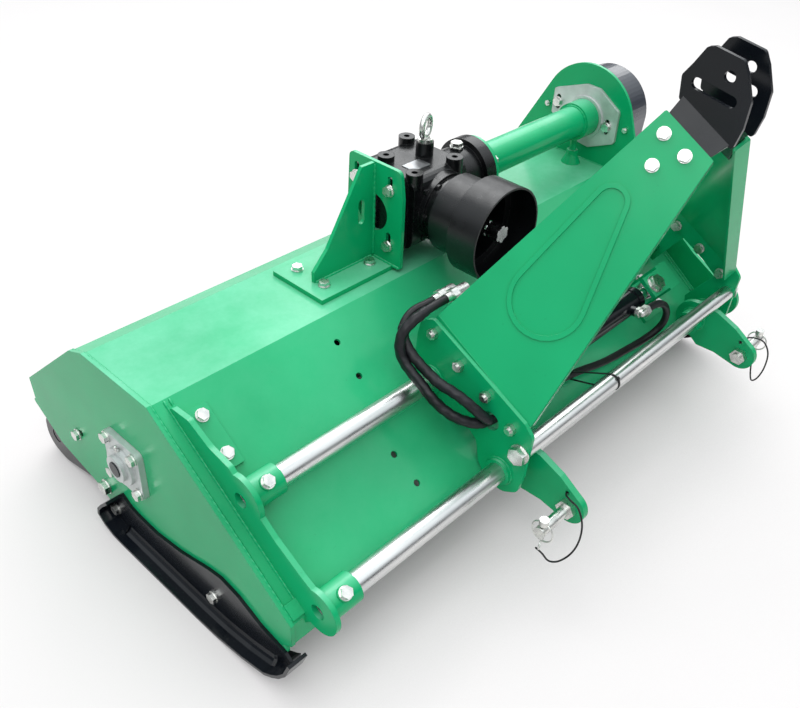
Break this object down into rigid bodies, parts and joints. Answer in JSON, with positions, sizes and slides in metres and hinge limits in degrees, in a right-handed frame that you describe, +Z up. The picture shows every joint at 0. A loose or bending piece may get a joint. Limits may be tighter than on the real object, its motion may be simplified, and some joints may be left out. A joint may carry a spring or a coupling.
{
  "type": "flail mower with hydraulic side shift",
  "caption": "Green flail mower for a three point linkage, with rotor and hammers, rear roller, belt drive, gearbox and a hitch carriage that slides on two rails.",
  "frame": {"origin": "centre of the tip of the input shaft", "axes": "+X along the cutting width towards the belt side, +Y towards the rear roller, +Z up"},
  "size_m": [1.474, 1.0082, 0.9018],
  "materials": {
    "green_paint": "gloss",
    "black_paint": "gloss",
    "zinc_tube": "satin",
    "zinc_fasteners": "satin",
    "bare_castings": "satin",
    "ground_steel": "polished",
    "grey_iron": "rough",
    "black_casting": "gloss",
    "guard_plastic": "satin",
    "grey_cover": "satin",
    "plate_metal": "satin",
    "black_rubber": "matte"
  },
  "bodies": {
    "deck": {"deck_shell": "green_paint", "side_plate_plain": "green_paint", "side_plate_belt": "green_paint", "rail_bracket_plain": "green_paint", "rail_bracket_belt": "green_paint", "upper_rail": "zinc_tube", "lower_rail": "zinc_tube", "collar_bolts": "zinc_fasteners", "skid_plain": "black_paint", "skid_belt": "black_paint", "deck_bolts": "zinc_fasteners", "bearing_plain": "bare_castings", "bearing_belt": "bare_castings", "bearing_bolts": "zinc_fasteners", "roller_pivots": "zinc_fasteners", "gearbox_bracket": "green_paint", "gearbox_bolts": "zinc_fasteners", "gearbox_housing": "black_casting", "filler_plugs": "zinc_fasteners", "lifting_eye": "zinc_fasteners", "blank_plate": "plate_metal", "shaft_guard": "guard_plastic", "shaft_tube": "green_paint", "tube_bolts": "zinc_fasteners", "bearing_slide": "bare_castings", "adjuster": "green_paint", "belts": "black_rubber", "belt_cover": "grey_cover", "cover_bolts": "zinc_fasteners", "piston_rod": "ground_steel", "cylinder_lug": "green_paint", "cylinder_pin_deck": "zinc_fasteners"},
    "carriage": {"carriage_plate_plain": "green_paint", "carriage_plate_belt": "green_paint", "lower_arms": "green_paint", "tie_bar": "zinc_tube", "tie_bolts": "zinc_fasteners", "channels": "green_paint", "channel_bolts": "zinc_fasteners", "top_link_plates": "black_paint", "hitch_pins": "zinc_fasteners", "linch_pins": "zinc_fasteners", "lanyards": "black_rubber", "cylinder_barrel": "black_paint", "cylinder_pin_carriage": "zinc_fasteners", "hoses": "black_rubber", "hose_fittings": "zinc_fasteners"},
    "rotor": {"rotor": "black_paint", "hammer_pins": "zinc_fasteners", "lower_pulley": "grey_iron"},
    "hammers_a": {"hammers_a": "grey_iron"},
    "hammers_b": {"hammers_b": "grey_iron"},
    "hammers_c": {"hammers_c": "grey_iron"},
    "hammers_d": {"hammers_d": "grey_iron"},
    "cross_shaft": {"cross_shaft": "ground_steel", "upper_pulley": "grey_iron"},
    "input_shaft": {"input_shaft": "ground_steel"},
    "roller_arms": {"roller_arms": "black_paint", "roller_clamps": "zinc_fasteners"},
    "roller": {"roller": "black_paint"}
  },
  "joints": [
    {"name": "side_shift", "type": "slide", "parent": "deck", "child": "carriage", "axis": [1, 0, 0], "range_m": [-0.36, 0]},
    {"name": "rotor_spin", "type": "hinge", "parent": "deck", "child": "rotor", "pos_m": [0, 0.238, -0.29], "axis": [1, 0, 0], "continuous": true},
    {"name": "cross_spin", "type": "hinge", "parent": "deck", "child": "cross_shaft", "pos_m": [0, 0.233, 0], "axis": [1, 0, 0], "continuous": true},
    {"name": "input_spin", "type": "hinge", "parent": "deck", "child": "input_shaft", "pos_m": [0, 0, 0], "axis": [0, 1, 0], "continuous": true},
    {"name": "roller_height", "type": "hinge", "parent": "deck", "child": "roller_arms", "pos_m": [0, 0.346, -0.428], "axis": [1, 0, 0], "range_deg": [-8.5, 8.5]},
    {"name": "roller_spin", "type": "hinge", "parent": "roller_arms", "child": "roller", "pos_m": [0, 0.551, -0.438], "axis": [1, 0, 0], "continuous": true},
    {"name": "swing_a", "type": "hinge", "parent": "rotor", "child": "hammers_a", "pos_m": [0, 0.21166, -0.21764], "axis": [1, 0, 0], "range_deg": [-80, 80]},
    {"name": "swing_b", "type": "hinge", "parent": "rotor", "child": "hammers_b", "pos_m": [0, 0.16564, -0.31634], "axis": [1, 0, 0], "range_deg": [-80, 80]},
    {"name": "swing_c", "type": "hinge", "parent": "rotor", "child": "hammers_c", "pos_m": [0, 0.26434, -0.36236], "axis": [1, 0, 0], "range_deg": [-80, 80]},
    {"name": "swing_d", "type": "hinge", "parent": "rotor", "child": "hammers_d", "pos_m": [0, 0.31036, -0.26366], "axis": [1, 0, 0], "range_deg": [-80, 80]}
  ],
  "couplings": [
    {"joint": "cross_spin", "follows": "rotor_spin", "ratio": 0.83333},
    {"joint": "input_spin", "follows": "rotor_spin", "ratio": 0.27778}
  ]
}
